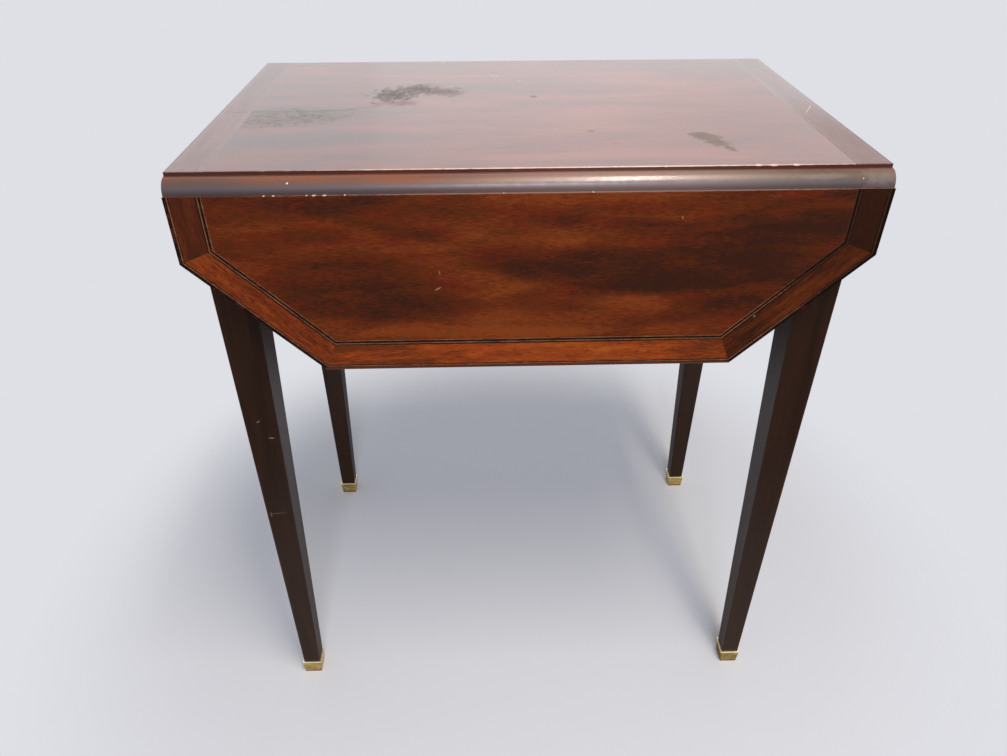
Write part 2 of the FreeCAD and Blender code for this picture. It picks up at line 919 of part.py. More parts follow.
def main():
    os.makedirs("parts", exist_ok=True)
    for nodes in (frame_nodes(), leg_nodes(), leaf_nodes(), drawer_nodes()):
        for name, shape in nodes.items():
            shape.exportStep("parts/" + name + ".step")


main()
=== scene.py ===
"""Dresses a drop-leaf side table.

Its boards are lacquered mahogany with crossbanding and stringing, and its dark legs stand in brass toe caps.
"""

import json
import logging
import math
from dataclasses import dataclass, replace
from enum import Enum
from functools import partial, reduce
from typing import Any, Sequence

import bmesh
import bpy
from mathutils import Matrix, Vector

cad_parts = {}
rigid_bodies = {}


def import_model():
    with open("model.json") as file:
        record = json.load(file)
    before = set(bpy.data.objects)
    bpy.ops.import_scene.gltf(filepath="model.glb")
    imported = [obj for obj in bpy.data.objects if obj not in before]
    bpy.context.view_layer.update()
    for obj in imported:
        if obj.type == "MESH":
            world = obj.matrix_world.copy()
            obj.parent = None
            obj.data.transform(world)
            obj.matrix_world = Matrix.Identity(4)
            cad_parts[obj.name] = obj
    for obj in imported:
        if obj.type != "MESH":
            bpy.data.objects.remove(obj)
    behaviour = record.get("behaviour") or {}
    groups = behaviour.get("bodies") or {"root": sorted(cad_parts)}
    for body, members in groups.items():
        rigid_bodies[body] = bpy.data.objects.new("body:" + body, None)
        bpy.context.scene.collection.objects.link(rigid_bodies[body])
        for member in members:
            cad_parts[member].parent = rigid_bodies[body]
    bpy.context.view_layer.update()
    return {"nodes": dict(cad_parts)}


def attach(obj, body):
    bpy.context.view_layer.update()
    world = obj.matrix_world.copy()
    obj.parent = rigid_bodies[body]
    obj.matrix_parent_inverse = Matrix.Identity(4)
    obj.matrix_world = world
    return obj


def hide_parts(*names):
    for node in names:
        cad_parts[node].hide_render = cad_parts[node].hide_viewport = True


LOG = logging.getLogger("drop_leaf_table")
MM = 0.001

# Half size of a patch that has no end along an axis, and depth of the marks on the top, in millimetres
EVERYWHERE = 2000.0
SKIN = 5.0

# Places of the mix node's colour sockets
MIX_FACTOR, MIX_A, MIX_B, MIX_RESULT = 0, 6, 7, 2

# Ranges of a noise or mask over which a surface goes from one look to the next
UNIT = (0.0, 1.0)
DARK_TO_MID = (0.14, 0.54)
MID_TO_LIGHT = (0.46, 0.9)
MID_TO_BLUSH = (0.4, 0.66)
WOOD_TO_PORE = (0.58, 0.74)
SMOOTH_TO_ROUGH = (0.3, 0.7)
TARNISHED_TO_BRIGHT = (0.55, 0.95)
BROKEN_TO_WHOLE = (0.4, 0.56)
BESIDE_TO_ON_VEIN = (0.035, 0.005)

# Fine noise that breaks up marks: size in millimetres, and how far it swings once it is signed
EVEN_SIZE = 7.0
RAGGED_SWING = 1.6

# Colour in the pores of a wood, most that its redder colour covers, and size of the redder places against its figure
PORE_COLOUR = "#1a0d08"
BLUSH_COVER = 0.8
BLUSH_SHARE = (0.4, 0.55)
LACQUER_IOR = 1.5

# Rubbing marks on metal: length and width, share in the tarnish and height, in millimetres. Real ones are 0.05 mm
# wide, and these are drawn coarser so that they show
RUBBING_SIZE = (12.0, 0.5)
RUBBING_SHARE = 0.5
RUBBING_HEIGHT = 0.03

# Sides of the round shapes, and turn of the slot from one screw to the next
SCREW_SIDES = 32
FLOOR_SIDES = 96
SLOT_STEP = math.radians(137.5)

# Gap between the toe caps and the floor, and width of the camera's sensor, in millimetres
FLOOR_DROP = 0.3
SENSOR_WIDTH = 36.0

Pair = tuple[float, float]
Triple = tuple[float, float, float]
Row = tuple[float, ...]
Place = tuple[Triple, Triple]
Nodes = dict[str, bpy.types.Object]
Tree = bpy.types.NodeTree
Socket = bpy.types.NodeSocket
Sockets = dict[int | str, Any]


def linear(code: str) -> tuple[float, float, float, float]:
    """Turns an sRGB hex colour into linear light.

    Args:
        code: Six hex digits after a hash sign.

    Returns:
        Red, green, blue and an alpha of one.
    """
    parts = [int(code[i:i + 2], 16) / 255 for i in (1, 3, 5)]
    red, green, blue = (p / 12.92 if p <= 0.04045 else ((p + 0.055) / 1.055) ** 2.4 for p in parts)
    return red, green, blue, 1.0


def add(tree: Tree, kind: str, sockets: Sockets | None = None, **settings: Any) -> bpy.types.Node:
    """Adds one node with its settings, socket values and links.

    Args:
        tree: Node tree that gets the node.
        kind: Blender's name of the node type.
        sockets: Input sockets by name or place, each with a value or the output that feeds it.
        settings: Properties of the node itself.

    Returns:
        The new node.
    """
    node = tree.nodes.new(kind)
    for name, value in settings.items():
        setattr(node, name, value)
    for key, value in (sockets or {}).items():
        if isinstance(value, bpy.types.NodeSocket):
            tree.links.new(value, node.inputs[key])
        else:
            node.inputs[key].default_value = value
    return node


class Run(Enum):
    """Ways that a grain can run, as the turn in degrees that takes the X axis along it."""

    LENGTHWISE = (0.0, 0.0, 0.0)
    ACROSS = (0.0, 0.0, 90.0)
    UPRIGHT = (0.0, -90.0, 0.0)
    RISING = (0.0, -45.0, 0.0)
    FALLING = (0.0, 45.0, 0.0)


class Side(Enum):
    """Long sides of the table, as the sign of their Y."""

    FRONT = -1
    BACK = 1


def points(geometry: Sequence[Any]) -> list[bmesh.types.BMVert]:
    """Picks the vertices out of the geometry that an operator gives back."""
    return [element for element in geometry if isinstance(element, bmesh.types.BMVert)]


def half_turn(places: Sequence[Place]) -> list[Place]:
    """Turns places and directions half round the table's upright axis."""
    return [((-x, -y, z), (-a, -b, c)) for (x, y, z), (a, b, c) in places]


@dataclass(frozen=True)
class Patch:
    """Soft-edged place on a surface, in millimetres.

    Attributes:
        centre: Middle of the place.
        half: Half sizes before the turn.
        strength: Value of the mask in the middle.
        turn: Turn about each axis, in degrees.
        soft: Share of the half size over which the mask fades.
        ragged: How ragged its outline is.
    """

    centre: Triple
    half: Triple
    strength: float = 1.0
    turn: Triple = (0.0, 0.0, 0.0)
    soft: float = 0.6
    ragged: float = 1.0


@dataclass(frozen=True)
class Marks:
    """Marks of one kind that use has left on a finish.

    Attributes:
        colour: Colour that shows in them, as sRGB hex.
        patches: Where they are, at least one.
        cover: Share of the colour that shows in the middle of a mark.
        rough: Roughness in the middle of a mark.
        coat: Weight of the lacquer film that is left there.
        broken: Share of a mark that a fine noise breaks up.
        veins: Spacing of the thin wandering lines that it is drawn as, in millimetres, or zero for a filled mark.
    """

    colour: str
    patches: tuple[Patch, ...]
    cover: float = 1.0
    rough: float = 0.6
    coat: float = 0.0
    broken: float = 0.0
    veins: float = 0.0


@dataclass
class Surface:
    """Node tree that a surface is drawn in.

    Attributes:
        tree: The node tree.
        place: Coordinates that it reads.
        even: Fine noise that breaks up marks, about 0.5 on average.
        ragged: The same noise, signed, that roughens outlines.
    """

    tree: Tree
    place: Socket
    even: Socket | None = None
    ragged: Socket | None = None

    def roughen(self, even: Socket) -> None:
        """Sets the fine noise."""
        self.even = even
        self.ragged = self.calc("MULTIPLY_ADD", even, RAGGED_SWING, -RAGGED_SWING / 2)

    def calc(self, operation: str, *values: Any, **settings: Any) -> Socket:
        """Works out one step of arithmetic on numbers or sockets."""
        return add(self.tree, "ShaderNodeMath", dict(enumerate(values)), operation=operation, **settings).outputs[0]

    def mixed(self, factor: Socket, first: Any, second: Any) -> Socket:
        """Mixes two colours, each a linear one or a socket."""
        sockets = {MIX_FACTOR: factor, MIX_A: first, MIX_B: second}
        return add(self.tree, "ShaderNodeMix", sockets, data_type="RGBA").outputs[MIX_RESULT]

    def ranged(self, value: Socket, old: Pair, new: Sequence[Any] = UNIT, smooth: bool = False) -> Socket:
        """Maps one range onto another and keeps the result within it.

        Args:
            value: What is mapped.
            old: Range of the value.
            new: Range that it gets, as numbers or sockets.
            smooth: Whether it eases in and out.

        Returns:
            The mapped value.
        """
        ease = "SMOOTHSTEP" if smooth else "LINEAR"
        limits = {"Value": value, "From Min": old[0], "From Max": old[1], "To Min": new[0], "To Max": new[1]}
        return add(self.tree, "ShaderNodeMapRange", limits, interpolation_type=ease).outputs[0]

    def reach(self, space: Socket) -> Socket:
        """Measures the distance from the origin of some coordinates."""
        return add(self.tree, "ShaderNodeVectorMath", {0: space}, operation="LENGTH").outputs["Value"]

    def space(self, centre: Triple, turn: Triple, size: Triple) -> Socket:
        """Makes coordinates with another origin, turn in degrees and unit, in millimetres."""
        place, unit = ([value * MM for value in values] for values in (centre, size))
        where = {"Vector": self.place, "Location": place, "Rotation": [*map(math.radians, turn)], "Scale": unit}
        return add(self.tree, "ShaderNodeMapping", where, vector_type="TEXTURE").outputs[0]

    def clouded(self, size: float, detail: float, rough: float = 0.5) -> Socket:
        """Makes a noise that is alike all ways, with features of a size in millimetres."""
        noise = {"Vector": self.place, "Scale": 1 / (size * MM), "Detail": detail, "Roughness": rough}
        return add(self.tree, "ShaderNodeTexNoise", noise).outputs[0]

    def drawn_out(self, run: Run, size: Pair, detail: float = 2.0, swirl: float = 0.0) -> Socket:
        """Makes a noise that is drawn out along the grain.

        Args:
            run: Way that the grain runs.
            size: Length along the grain and width across it of one feature, in millimetres.
            detail: Octaves of finer noise.
            swirl: How far the features bend.

        Returns:
            The noise, about 0.5 on average.
        """
        length, width = size
        space = self.space((0.0, 0.0, 0.0), run.value, (length, width, width))
        noise = {"Vector": space, "Scale": 1.0, "Detail": detail, "Distortion": swirl}
        return add(self.tree, "ShaderNodeTexNoise", noise).outputs[0]

    def mask(self, patch: Patch) -> Socket:
        """Makes the mask of a place.

        Args:
            patch: The place.

        Returns:
            The mask, zero outside.
        """
        reach = self.reach(self.space(patch.centre, patch.turn, patch.half))
        outline = self.calc("MULTIPLY_ADD", self.ragged, patch.ragged, reach)
        fade = (1.0 + patch.soft / 2, 1.0 - patch.soft / 2)
        return self.ranged(outline, fade, (0.0, patch.strength), smooth=True)

    def gathered(self, patches: Sequence[Patch], operation: str) -> Socket:
        """Joins the masks of some places by a math operation."""
        return reduce(partial(self.calc, operation), map(self.mask, patches))

    def marked(self, marks: Marks) -> Socket:
        """Makes the mask of some marks.

        Args:
            marks: The marks.

        Returns:
            The mask, zero outside.
        """
        mask = self.gathered(marks.patches, "MAXIMUM")
        if marks.broken:
            kept = self.ranged(self.even, BROKEN_TO_WHOLE, (1 - marks.broken, 1.0))
            mask = self.calc("MULTIPLY", mask, kept)
        if marks.veins:
            sway = self.calc("SUBTRACT", self.clouded(marks.veins, detail=4.0), 0.5)
            vein = self.ranged(self.calc("ABSOLUTE", sway), BESIDE_TO_ON_VEIN)
            mask = self.calc("MULTIPLY", mask, vein)
        return mask


@dataclass(frozen=True)
class Finish:
    """What one surface is made of.

    Attributes:
        name: Common name of the material.
        marks: Marks of use, in the order in which they were made.
    """

    name: str
    marks: tuple[Marks, ...] = ()

    def material(self) -> bpy.types.Material:
        """Makes the material of the finish.

        Returns:
            The new material.
        """
        material = bpy.data.materials.new(self.name)
        material.use_nodes = True
        tree = material.node_tree
        tree.nodes.clear()
        surface = Surface(tree, add(tree, "ShaderNodeTexCoord").outputs["Object"])
        shader = add(tree, "ShaderNodeBsdfPrincipled", self.sockets(surface))
        add(tree, "ShaderNodeOutputMaterial", {"Surface": shader.outputs[0]})
        return material

    def sockets(self, surface: Surface) -> Sockets:
        """Draws the finish and gives the shader's sockets."""
        raise NotImplementedError

    def worn(self, surface: Surface, looks: Sockets) -> Sockets:
        """Draws the marks of use over the finish.

        Args:
            surface: What they are drawn on.
            looks: Sockets of the unmarked finish that marks change.

        Returns:
            The same sockets with the marks.
        """
        looks = dict(looks)
        for marks in self.marks:
            mask = surface.marked(marks)
            cover = surface.calc("MULTIPLY", mask, marks.cover, use_clamp=True)
            looks["Base Color"] = surface.mixed(cover, looks["Base Color"], linear(marks.colour))
            looks["Roughness"] = surface.ranged(mask, UNIT, (looks["Roughness"], marks.rough))
            if "Coat Weight" in looks:
                looks["Coat Weight"] = surface.ranged(mask, UNIT, (looks["Coat Weight"], marks.coat))
        return looks

    def dress(self, nodes: Nodes, *names: str) -> None:
        """Gives the finish to some pieces.

        Args:
            nodes: Pieces by name.
            names: Names of those that get the finish.
        """
        material = self.material()
        for name in names:
            for slot in nodes[name].material_slots:
                slot.material = material
            LOG.info("%s: %s", name, self.name)


@dataclass(frozen=True)
class Wood(Finish):
    """Finished wood: cloudy figure and fibres drawn out along the grain, short pores, and the marks of use.

    Attributes:
        run: Way that the grain runs.
        dark: Colour of the dark clouds.
        mid: Colour of most of the surface.
        light: Colour of the bright streaks.
        blush: Colour of the redder places.
        figure: Length and width of one cloud, in millimetres.
        figure_detail: Octaves of finer clouds.
        fibre: Length and width of one fibre streak.
        fibre_depth: How far the fibres change the tone.
        pore: Length and width of one pore. Real ones are 0.3 mm wide, and these are drawn coarser so that they show.
        pore_depth: Share of darkening in a pore.
        clouds: Places that are darker (negative) or brighter in figure.
        rough: Roughness of the wood under the lacquer.
        level: Specular level.
        tint: Colour that the finish gives to what it mirrors.
        coat: Weight of the clear lacquer film.
        coat_rough: Roughness of the film.
        spread: How much the roughness varies from place to place.
        bump: Height of the pores' relief, in millimetres.
    """

    run: Run = Run.LENGTHWISE
    dark: str = "#3c1e12"
    mid: str = "#602a0e"
    light: str = "#8a4016"
    blush: str = "#6f250f"
    figure: Pair = (110.0, 24.0)
    figure_detail: float = 3.0
    fibre: Pair = (20.0, 1.7)
    fibre_depth: float = 0.45
    pore: Pair = (5.0, 0.9)
    pore_depth: float = 0.6
    clouds: tuple[Patch, ...] = ()
    rough: float = 0.3
    level: float = 0.5
    tint: str = "#ffffff"
    coat: float = 1.0
    coat_rough: float = 0.16
    spread: float = 0.02
    bump: float = 0.003

    def ground(self, surface: Surface, pores: Socket) -> Socket:
        """Draws the colour of the unmarked wood.

        Args:
            surface: What it is drawn on.
            pores: Noise of the pores.

        Returns:
            The colour.
        """
        figure = surface.drawn_out(self.run, self.figure, self.figure_detail, swirl=0.6)
        fibre = surface.drawn_out(self.run, self.fibre, detail=3.0)
        tone = surface.calc("MULTIPLY_ADD", fibre, self.fibre_depth, -self.fibre_depth / 2)
        tone = surface.calc("ADD", tone, figure)
        if self.clouds:
            tone = surface.calc("ADD", tone, surface.gathered(self.clouds, "ADD"))
        low = surface.ranged(tone, DARK_TO_MID, smooth=True)
        high = surface.ranged(tone, MID_TO_LIGHT, smooth=True)
        size = (self.figure[0] * BLUSH_SHARE[0], self.figure[1] * BLUSH_SHARE[1])
        redder = surface.drawn_out(self.run, size, detail=3.0, swirl=0.5)
        redder = surface.ranged(redder, MID_TO_BLUSH, (0.0, BLUSH_COVER))
        colour = surface.mixed(redder, linear(self.mid), linear(self.blush))
        colour = surface.mixed(low, linear(self.dark), colour)
        colour = surface.mixed(high, colour, linear(self.light))
        open_pore = surface.ranged(pores, WOOD_TO_PORE, (0.0, self.pore_depth))
        return surface.mixed(open_pore, colour, linear(PORE_COLOUR))

    def sockets(self, surface: Surface) -> Sockets:
        """Draws the grain and the marks.

        Args:
            surface: What they are drawn on.

        Returns:
            The shader's sockets.
        """
        pores = surface.drawn_out(self.run, self.pore, detail=1.0)
        surface.roughen(surface.clouded(EVEN_SIZE, detail=5.0))
        rough = (self.rough - self.spread, self.rough + self.spread)
        looks = {
            "Base Color": self.ground(surface, pores),
            "Roughness": surface.ranged(surface.even, SMOOTH_TO_ROUGH, rough),
            "Coat Weight": self.coat,
        }
        height = {"Strength": 0.5, "Distance": self.bump * MM, "Height": pores}
        return {
            **self.worn(surface, looks),
            "IOR": LACQUER_IOR,
            "Specular IOR Level": self.level,
            "Specular Tint": linear(self.tint),
            "Normal": add(surface.tree, "ShaderNodeBump", height, invert=True).outputs[0],
            "Coat Roughness": self.coat_rough,
            "Coat IOR": LACQUER_IOR,
        }


@dataclass(frozen=True)
class Metal(Finish):
    """Handled metal: bright where it is rubbed, darker and duller in clouds where it has tarnished.

    Attributes:
        bright: Colour of the rubbed metal.
        tarnish: Colour of the tarnish.
        cloud: Size of one cloud of tarnish, in millimetres.
        rough: Roughness of the rubbed metal.
        dull: Roughness of the tarnish.
    """

    bright: str = "#d8bd78"
    tarnish: str = "#9b8349"
    cloud: float = 12.0
    rough: float = 0.28
    dull: float = 0.5

    def sockets(self, surface: Surface) -> Sockets:
        """Draws the tarnish and the rubbing marks.

        Args:
            surface: What they are drawn on.

        Returns:
            The shader's sockets.
        """
        clouds = surface.clouded(self.cloud, detail=5.0, rough=0.65)
        surface.roughen(clouds)
        lines = surface.drawn_out(Run.LENGTHWISE, RUBBING_SIZE)
        rubbed = surface.calc("MULTIPLY_ADD", lines, RUBBING_SHARE, clouds)
        mask = surface.ranged(rubbed, TARNISHED_TO_BRIGHT, smooth=True)
        looks = {
            "Base Color": surface.mixed(mask, linear(self.tarnish), linear(self.bright)),
            "Roughness": surface.ranged(mask, UNIT, (self.dull, self.rough)),
        }
        height = {"Strength": 0.2, "Distance": RUBBING_HEIGHT * MM, "Height": lines}
        return {
            **self.worn(surface, looks),
            "Metallic": 1.0,
            "Normal": add(surface.tree, "ShaderNodeBump", height).outputs[0],
        }


@dataclass(frozen=True)
class PaleFloor(Finish):
    """Matt pale floor that fades out into the backdrop round the table and hides nothing from below.

    Attributes:
        colour: Colour of the floor.
        solid: Distance from the middle to which it is solid, in metres.
        gone: Distance at which it has faded out.
    """

    colour: str = "#d9d9db"
    solid: float = 0.42
    gone: float = 0.75

    def sockets(self, surface: Surface) -> Sockets:
        """Draws the floor and its fading.

        Args:
            surface: What it is drawn on.

        Returns:
            The shader's sockets.
        """
        alpha = surface.ranged(surface.reach(surface.place), (self.gone, self.solid), smooth=True)
        below = add(surface.tree, "ShaderNodeNewGeometry").outputs["Backfacing"]
        shown = surface.ranged(below, UNIT, (alpha, 0.0))
        return {"Base Color": linear(self.colour), "Roughness": 0.9, "Specular IOR Level": 0.1, "Alpha": shown}


@dataclass(frozen=True)
class Lamp:
    """Soft lamp with an oblong face that hangs at one point and faces another, in metres and watts."""

    name: str
    at: Triple
    aim: Triple
    size: Pair
    power: float
    colour: str

    def hang(self) -> None:
        """Hangs the lamp, out of the camera's sight."""
        data = bpy.data.lights.new(self.name, "AREA")
        data.shape = "RECTANGLE"
        data.size, data.size_y = self.size
        data.energy = self.power
        data.color = linear(self.colour)[:3]
        lamp = bpy.data.objects.new(self.name, data)
        lamp.location = self.at
        lamp.rotation_mode = "QUATERNION"
        lamp.rotation_quaternion = (Vector(self.aim) - Vector(self.at)).to_track_quat("-Z", "Y")
        lamp.visible_camera = False
        bpy.context.scene.collection.objects.link(lamp)


@dataclass
class Studio:
    """Camera, soft lamps, pale backdrop and floor, in metres and degrees.

    Attributes:
        eye: Where the camera stands.
        heading: Turn of the camera to the right.
        dip: How far it looks down.
        roll: Its roll.
        lens: Focal length for the sensor's width, in millimetres.
        backdrop: Colour behind the table.
        sky: Colour of the light from above.
        ground: Colour of the light from below.
        mirrored_sky: Colour that gloss mirrors from above.
        mirrored_ground: Colour that gloss mirrors from below.
        horizon: Range of a ray's rise over which the ground turns into the sky.
        floor_radius: Radius of the floor.
        lamps: Lamps that light the table.
    """

    eye: Triple = (-0.0398, -0.8276, 0.9371)
    heading: float = 1.39
    dip: float = 35.04
    roll: float = -0.20
    lens: float = 27.28
    backdrop: str = "#dfe0e6"
    sky: str = "#b1b4bb"
    ground: str = "#86837f"
    mirrored_sky: str = "#fdfcff"
    mirrored_ground: str = "#26221f"
    horizon: Pair = (-0.1, 0.1)
    floor_radius: float = 0.8
    lamps: tuple[Lamp, ...] = (
        Lamp("ceiling_tube", (0.47, -1.03, 2.65), (0.47, -0.65, 0.0), (0.28, 1.35), 36.0, "#fff8ee"),
        Lamp("window", (0.13, -2.5, 2.0), (0.0, -0.1, 0.6), (0.7, 0.6), 30.0, "#e9ecff"),
        Lamp("back_panel", (0.7, 2.6, 1.55), (0.0, -0.1, 0.6), (2.6, 1.4), 1.0, "#ffffff"),
    )

    def camera(self) -> None:
        """Sets the camera at the viewing angle of the object."""
        data = bpy.data.cameras.new("camera")
        data.lens = self.lens
        data.sensor_width = SENSOR_WIDTH
        camera = bpy.data.objects.new("camera", data)
        heading = Matrix.Rotation(-math.radians(self.heading), 4, "Z")
        dip = Matrix.Rotation(math.radians(90 - self.dip), 4, "X")
        roll = Matrix.Rotation(math.radians(self.roll), 4, "Z")
        camera.matrix_world = Matrix.Translation(self.eye) @ heading @ dip @ roll
        bpy.context.scene.collection.objects.link(camera)
        bpy.context.scene.camera = camera

    def world(self) -> None:
        """Makes the soft surroundings: pale to the camera, bright above and dim below in reflections."""
        world = bpy.data.worlds.new("pale_room")
        bpy.context.scene.world = world
        world.use_nodes = True
        tree = world.node_tree
        tree.nodes.clear()
        way = add(tree, "ShaderNodeTexCoord").outputs["Generated"]
        rise = add(tree, "ShaderNodeSeparateXYZ", {0: way}).outputs["Z"]
        path = add(tree, "ShaderNodeLightPath").outputs
        surface = Surface(tree, way)
        above = surface.ranged(rise, self.horizon, smooth=True)
        lit = surface.mixed(above, linear(self.ground), linear(self.sky))
        mirrored = surface.mixed(above, linear(self.mirrored_ground), linear(self.mirrored_sky))
        shown = surface.mixed(path["Is Glossy Ray"], lit, mirrored)
        straight = surface.calc("MAXIMUM", path["Is Camera Ray"], path["Is Transmission Ray"])
        shown = surface.mixed(straight, shown, linear(self.backdrop))
        background = add(tree, "ShaderNodeBackground", {"Color": shown, "Strength": 1.0})
        add(tree, "ShaderNodeOutputWorld", {"Surface": background.outputs[0]})

    def floor(self) -> None:
        """Lays the floor under the toe caps."""
        shape = bmesh.new()
        level = Matrix.Translation((0.0, 0.0, -FLOOR_DROP * MM))
        bmesh.ops.create_circle(shape, cap_ends=True, segments=FLOOR_SIDES, radius=self.floor_radius, matrix=level)
        mesh = bpy.data.meshes.new("floor")
        shape.to_mesh(mesh)
        shape.free()
        # Smooth matt paint: it spreads the light, so that only the soft shadows round the toe caps show
        mesh.materials.append(PaleFloor("matt_pale_floor").material())
        floor = bpy.data.objects.new("floor", mesh)
        bpy.context.scene.collection.objects.link(floor)

    def build(self) -> None:
        """Makes the whole studio."""
        bpy.context.scene.view_settings.view_transform = "Standard"
        self.camera()
        self.world()
        for lamp in self.lamps:
            lamp.hang()
        self.floor()


@dataclass
class TableTop:
    """Fixed board with its crossbands, lines and the rounds of its rule joints.

    Attributes:
        half_width: Half of the flat top between the rule joints, in millimetres.
        face: Height of the top face.
        joint: Height of the middle of the round.
    """

    half_width: float = 195.0
    face: float = 711.0
    joint: float = 700.0

    def on_top(self, *rows: Row, deep: float = SKIN, **edge: float) -> tuple[Patch, ...]:
        """Makes patches on the flat top from rows of X, Y, half sizes along them, strength and turn."""
        return tuple(Patch((x, y, self.face), (long, wide, deep), strength, (0, 0, turn), **edge)
                     for x, y, long, wide, strength, turn in rows)

    def on_round(self, *rows: Row, sides: Sequence[Side] = (Side.FRONT,), **edge: float) -> tuple[Patch, ...]:
        """Makes patches on the rounds from rows of X, distance out, height, three half sizes and strength."""
        return tuple(Patch((x, side.value * (self.half_width + out), self.joint + up), tuple(half), strength, **edge)
                     for side in sides for x, out, up, *half, strength in rows)

    def round_marks(self) -> tuple[Marks, ...]:
        """Lists the marks on the rounds and on the shoulders above them, with painted shade along the shoulders and
        over the rounds' lower half, and a painted glint on the front round.

        Returns:
            Marks in the order in which they were made.
        """
        both = tuple(Side)
        rounds = self.on_round((0, 8, 0, EVERYWHERE, 7.6, 7.6, 1), soft=0.1, ragged=0.0, sides=both)
        rubbed = self.on_round((-205, 8, 4, 48, 8, 6, 1), (-118, 8, 4, 34, 8, 6, 0.8), soft=1.4, ragged=1.2)
        dulled = self.on_round((235, 8, 0, 105, 12, 12, 1), (-290, 8, 0, 40, 12, 12, 0.6), soft=1.3, ragged=0.8)
        # Painted highlight: the front round is drawn paler where the lamps' glint falls on it, with more coat there
        sleek_and_painted_glint = self.on_round((80, 8, 0, 120, 13, 13, 1), soft=1.3, ragged=0.3)
        # Painted shade: the lower half of both rounds is drawn bluish grey, where they turn away from the lamps
        lower_round_shade = self.on_round((0, 12, -3, EVERYWHERE, 5, 5, 1), soft=0.9, ragged=0.4, sides=both)
        # Painted shade: darker still on the lower left of the front round
        lower_left_round_shade = self.on_round((-225, 12, -1, 130, 8, 7, 1), soft=1.2, ragged=0.4)
        scuffs = self.on_round((297, 9, 2, 16, 9, 9, 1), (250, 11, 4, 22, 5, 2, 1), soft=0.9, ragged=1.6)
        # Painted shade: a dark line along the step of each shoulder
        shoulders = self.on_round((0, 0, 8.6, EVERYWHERE, 1, 2.2, 1), soft=0.5, ragged=0.2, sides=both)
        return (
            Marks("#6e4027", rounds, cover=0.85, rough=0.33, broken=0.12),
            Marks("#8f4f22", rubbed, cover=0.5, rough=0.3),
            Marks("#40372a", dulled, cover=0.8, rough=0.46, broken=0.4),
            # Painted highlight where the glint falls on the front round
            Marks("#9c8070", sleek_and_painted_glint, cover=0.6, rough=0.38, coat=0.55, broken=0.2),
            # Painted shade over the lower half of both rounds
            Marks("#4e494d", lower_round_shade, cover=0.65, rough=0.36),
            # Painted shade on the lower left of the front round
            Marks("#352f34", lower_left_round_shade, cover=0.6, rough=0.44),
            Marks("#8a8074", scuffs, cover=0.3, rough=0.45, broken=0.5),
            # Painted shade along the shoulders
            Marks("#2a1714", shoulders, cover=0.65, rough=0.45),
        )

    def marks(self) -> tuple[Marks, ...]:
        """Lists the marks that use has left on the top, and the painted shade and glint on its rounds.

        Returns:
            Marks in the order in which they were made.
        """
        thin = self.on_top((255, -70, 130, 170, 1, 0), soft=1.6, ragged=0.3)
        haze = self.on_top((-250, -46, 46, 27, 0.85, 0), (-210, -39, 33, 18, 1, 14), soft=1.2, ragged=1.6)
        stain = (
            *self.on_top((-137, 38, 21, 25, 1, 0), ragged=2.2),
            *self.on_top((-113, 60, 25, 19, 0.9, 0), soft=0.75, ragged=2.2),
            *self.on_top((-90, 52, 24, 14, 0.75, 0), (-76, 42, 13, 11, 0.6, 0), (-130, 7, 20, 10, 0.5, 0),
                         soft=0.9, ragged=2.2),
        )
        ring = (
            *self.on_top((167, -116, 12, 15, 1, 20), (174, -133, 9, 14, 1, 30), soft=0.35, ragged=1.5),
            *self.on_top((182, -150, 4, 9, 1, 20)),
        )
        spots = (
            *self.on_top((15, 27, 3.5, 4, 1, 0), (63, -96, 3.5, 3, 1, 0), soft=1.0),
            *self.on_top((81, -132, 4, 3, 0.4, 0)),
        )
        pale = ((-90, 189, 0.9), (-75, 74, 0.6), (-24, 118, 0.8), (-29, 121, 0.5), (2, 94, 0.35))
        specks = self.on_top(*((x, y, 2.2, 3, strength, 0) for x, y, strength in pale), soft=1.0, ragged=1.5)
        chips = (
            *self.on_round((-206, 10, 3.5, 0.75, 2, 0.6, 1), soft=0.4),
            *self.on_round((283, 11, 2, 0.8, 2, 0.8, 1), soft=0.3),
        )
        edge = self.face - self.joint
        worn = (
            *self.on_round((50, 0, edge, 230, 1.6, 0.55, 1), soft=0.9, ragged=0.7),
            *self.on_round(*((x, 0, edge, 3, 2.6, 1, 1) for x in (115, 195, 208, 227)), soft=0.4),
        )
        return (
            Marks("#7d3a20", thin, cover=0.3, rough=0.3, coat=0.78),
            *self.round_marks(),
            Marks("#7d7868", haze, cover=0.55, rough=0.45, coat=0.55, broken=0.6),
            Marks("#4c4238", haze, cover=0.8, rough=0.5, coat=0.4, veins=16),
            Marks("#4e493a", stain, cover=0.9, rough=0.5, coat=0.2, broken=0.45),
            Marks("#35332a", stain, cover=0.8, rough=0.5, veins=6.5),
            Marks("#604e3d", ring, cover=0.85, rough=0.5, coat=0.3, broken=0.3),
            Marks("#543831", spots, cover=0.65, rough=0.45, coat=0.66),
            Marks("#dcc594", specks, cover=0.8, rough=0.5, coat=0.5),
            Marks("#e6d6b8", chips, cover=0.9, coat=0.2),
            Marks("#e6c4ac", worn, cover=0.9, rough=0.5, coat=0.2),
            *self.cracks(),
        )

    def cracks(self) -> tuple[Marks, ...]:
        """Lists the marks that cross both the field and the bands.

        Returns:
            A crack in the lacquer on the left and a scratch on the right.
        """
        crack = self.on_top((-267, -20.5, 41, 1.3, 0.8, 0), (-206, -19.5, 25, 1.4, 1, 7),
                            (-158, -5, 28, 1.4, 0.55, 26), soft=1.0)
        scratch = self.on_top((296.4, -29.5, 0.75, 16.3, 1, -28.8), ragged=0.3)
        return (
            Marks("#5a4c42", crack, cover=0.7, rough=0.5, coat=0.5),
            Marks("#e3d3b2", scratch, cover=0.6, coat=0.3),
        )

